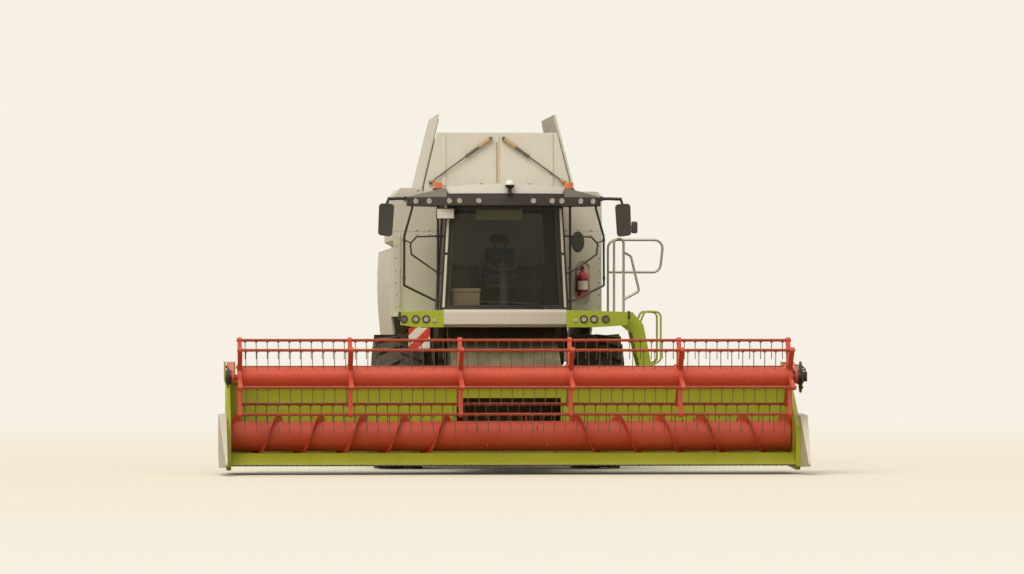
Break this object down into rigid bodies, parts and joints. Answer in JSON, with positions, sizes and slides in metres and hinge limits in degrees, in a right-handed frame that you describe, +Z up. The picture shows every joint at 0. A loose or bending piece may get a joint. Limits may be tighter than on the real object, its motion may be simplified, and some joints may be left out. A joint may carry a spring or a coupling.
{
  "type": "combine harvester",
  "caption": "Self-propelled grain harvester with a wide cutting header and reel, a glazed cab, an open-topped grain tank with raised flaps, and steered rear wheels.",
  "frame": {"origin": "on the ground, under the middle of the overall length and width", "axes": "+X to the machine's left, +Y to its rear, +Z up"},
  "size_m": [7.8, 10.6484, 4.9079],
  "materials": {
    "painted_red": "satin enamel",
    "painted_green": "gloss enamel",
    "painted_cream": "satin enamel",
    "white_plastic": "moulded",
    "dark_plastic": "moulded",
    "dark_metal": "satin enamel",
    "galvanised": "galvanised",
    "steel": "machined",
    "tyre_rubber": "dusty",
    "cab_glass": "tinted",
    "seat_cloth": "woven",
    "lamp_lens": "clear",
    "extinguisher_red": "gloss enamel",
    "marker_plate": "reflective film"
  },
  "bodies": {
    "chassis": {"chassis_frame": "dark_metal", "front_axle": "dark_metal", "rear_axle": "dark_metal", "threshing_housing": "painted_cream", "drive_pulleys": "steel", "grain_tank": "painted_cream", "filling_auger": "galvanised", "engine": "dark_metal", "engine_hood": "painted_cream", "rear_hood": "painted_cream", "straw_chopper": "dark_metal", "cab_floor": "dark_metal", "cab_frame": "dark_metal", "cab_glass": "cab_glass", "cab_roof": "dark_plastic", "roof_cap": "white_plastic", "driver_seat": "seat_cloth", "cab_console": "dark_plastic", "front_beam": "painted_cream", "lamp_housings": "painted_green", "lamps": "lamp_lens", "mirrors": "dark_plastic", "grab_rails": "dark_metal", "platform": "painted_green", "railings": "galvanised", "front_plates": "marker_plate", "extinguisher": "extinguisher_red"},
    "feeder": {"feeder_house": "painted_cream", "header_frame": "painted_green", "header_trough": "painted_green", "knife_bar": "steel", "dividers": "painted_cream"},
    "header_auger": {"header_auger": "painted_red"},
    "reel_arms": {"reel_arms": "painted_red"},
    "reel": {"reel_core": "painted_red"},
    "tine_bar_1": {"tine_bar_1": "painted_red"},
    "tine_bar_2": {"tine_bar_2": "painted_red"},
    "tine_bar_3": {"tine_bar_3": "painted_red"},
    "tine_bar_4": {"tine_bar_4": "painted_red"},
    "tine_bar_5": {"tine_bar_5": "painted_red"},
    "tine_bar_6": {"tine_bar_6": "painted_red"},
    "front_wheel_left": {"front_tyre_left": "tyre_rubber", "front_rim_left": "painted_cream"},
    "knuckle_left": {"knuckle_left": "dark_metal"},
    "rear_wheel_left": {"rear_tyre_left": "tyre_rubber", "rear_rim_left": "painted_cream"},
    "front_wheel_right": {"front_tyre_right": "tyre_rubber", "front_rim_right": "painted_cream"},
    "knuckle_right": {"knuckle_right": "dark_metal"},
    "rear_wheel_right": {"rear_tyre_right": "tyre_rubber", "rear_rim_right": "painted_cream"},
    "unloading_auger": {"unloading_auger": "painted_cream"},
    "cab_door": {"cab_door_frame": "dark_metal", "cab_door_glass": "cab_glass"},
    "tank_flap_front": {"tank_flap_front": "painted_cream"},
    "tank_flap_rear": {"tank_flap_rear": "painted_cream"},
    "tank_flap_left": {"tank_flap_left": "painted_cream"},
    "tank_flap_right": {"tank_flap_right": "painted_cream"},
    "side_panel_left": {"side_panel_left": "painted_cream"},
    "side_panel_right": {"side_panel_right": "painted_cream"}
  },
  "joints": [
    {"name": "feeder_lift", "type": "hinge", "parent": "chassis", "child": "feeder", "pos_m": [0, -1.5, 1.62], "axis": [-1, 0, 0], "range_deg": [0, 20]},
    {"name": "header_auger_spin", "type": "hinge", "parent": "feeder", "child": "header_auger", "pos_m": [0, -3.75, 0.5], "axis": [1, 0, 0], "continuous": true},
    {"name": "reel_lift", "type": "hinge", "parent": "feeder", "child": "reel_arms", "pos_m": [0, -3.29, 1.42], "axis": [-1, 0, 0], "range_deg": [0, 24]},
    {"name": "reel_spin", "type": "hinge", "parent": "reel_arms", "child": "reel", "pos_m": [0, -4.55, 1.29], "axis": [1, 0, 0], "continuous": true},
    {"name": "tine_bar_1_turn", "type": "hinge", "parent": "reel", "child": "tine_bar_1", "pos_m": [0, -4.41956, 1.77683], "axis": [1, 0, 0], "continuous": true},
    {"name": "tine_bar_2_turn", "type": "hinge", "parent": "reel", "child": "tine_bar_2", "pos_m": [0, -4.90638, 1.64638], "axis": [1, 0, 0], "continuous": true},
    {"name": "tine_bar_3_turn", "type": "hinge", "parent": "reel", "child": "tine_bar_3", "pos_m": [0, -5.03683, 1.15956], "axis": [1, 0, 0], "continuous": true},
    {"name": "tine_bar_4_turn", "type": "hinge", "parent": "reel", "child": "tine_bar_4", "pos_m": [0, -4.68044, 0.80317], "axis": [1, 0, 0], "continuous": true},
    {"name": "tine_bar_5_turn", "type": "hinge", "parent": "reel", "child": "tine_bar_5", "pos_m": [0, -4.19362, 0.93362], "axis": [1, 0, 0], "continuous": true},
    {"name": "tine_bar_6_turn", "type": "hinge", "parent": "reel", "child": "tine_bar_6", "pos_m": [0, -4.06317, 1.42044], "axis": [1, 0, 0], "continuous": true},
    {"name": "front_wheel_left_roll", "type": "hinge", "parent": "chassis", "child": "front_wheel_left", "pos_m": [1.365, -0.8, 0.93], "axis": [1, 0, 0], "continuous": true},
    {"name": "front_wheel_right_roll", "type": "hinge", "parent": "chassis", "child": "front_wheel_right", "pos_m": [-1.365, -0.8, 0.93], "axis": [1, 0, 0], "continuous": true},
    {"name": "steer_left", "type": "hinge", "parent": "chassis", "child": "knuckle_left", "pos_m": [0.93, 2.95, 0.66], "axis": [0, 0, 1], "range_deg": [-40, 40]},
    {"name": "rear_wheel_left_roll", "type": "hinge", "parent": "knuckle_left", "child": "rear_wheel_left", "pos_m": [1.26, 2.95, 0.66], "axis": [1, 0, 0], "continuous": true},
    {"name": "steer_right", "type": "hinge", "parent": "chassis", "child": "knuckle_right", "pos_m": [-0.93, 2.95, 0.66], "axis": [0, 0, 1], "range_deg": [-40, 40]},
    {"name": "rear_wheel_right_roll", "type": "hinge", "parent": "knuckle_right", "child": "rear_wheel_right", "pos_m": [-1.26, 2.95, 0.66], "axis": [1, 0, 0], "continuous": true},
    {"name": "unloading_auger_swing", "type": "hinge", "parent": "chassis", "child": "unloading_auger", "pos_m": [1.31, -0.25, 3.5], "axis": [0, 0, -1], "range_deg": [0, 105]},
    {"name": "cab_door_swing", "type": "hinge", "parent": "chassis", "child": "cab_door", "pos_m": [0.90196, -1.305, 2.18131], "axis": [-0.0598, 0, 0.9982], "range_deg": [0, 85]},
    {"name": "tank_flap_left_fold", "type": "hinge", "parent": "chassis", "child": "tank_flap_left", "pos_m": [1.048, 0.5, 3.8463], "axis": [0, -1, 0], "range_deg": [0, 60]},
    {"name": "tank_flap_right_fold", "type": "hinge", "parent": "chassis", "child": "tank_flap_right", "pos_m": [-1.048, 0.5, 3.8463], "axis": [0, 1, 0], "range_deg": [0, 60]},
    {"name": "tank_flap_front_fold", "type": "hinge", "parent": "chassis", "child": "tank_flap_front", "pos_m": [0, -0.872, 3.66], "axis": [-1, 0, 0], "range_deg": [0, 82]},
    {"name": "tank_flap_rear_fold", "type": "hinge", "parent": "chassis", "child": "tank_flap_rear", "pos_m": [0, 1.882, 3.66], "axis": [1, 0, 0], "range_deg": [0, 82]},
    {"name": "side_panel_left_lift", "type": "hinge", "parent": "chassis", "child": "side_panel_left", "pos_m": [1.4231, 2.235, 3.05], "axis": [0, -1, 0], "range_deg": [0, 75]},
    {"name": "side_panel_right_lift", "type": "hinge", "parent": "chassis", "child": "side_panel_right", "pos_m": [-1.4231, 2.235, 3.05], "axis": [0, 1, 0], "range_deg": [0, 75]}
  ],
  "couplings": [
    {"joint": "tine_bar_1_turn", "follows": "reel_spin", "ratio": -1},
    {"joint": "tine_bar_2_turn", "follows": "reel_spin", "ratio": -1},
    {"joint": "tine_bar_3_turn", "follows": "reel_spin", "ratio": -1},
    {"joint": "tine_bar_4_turn", "follows": "reel_spin", "ratio": -1},
    {"joint": "tine_bar_5_turn", "follows": "reel_spin", "ratio": -1},
    {"joint": "tine_bar_6_turn", "follows": "reel_spin", "ratio": -1},
    {"joint": "steer_right", "follows": "steer_left", "ratio": 1}
  ]
}
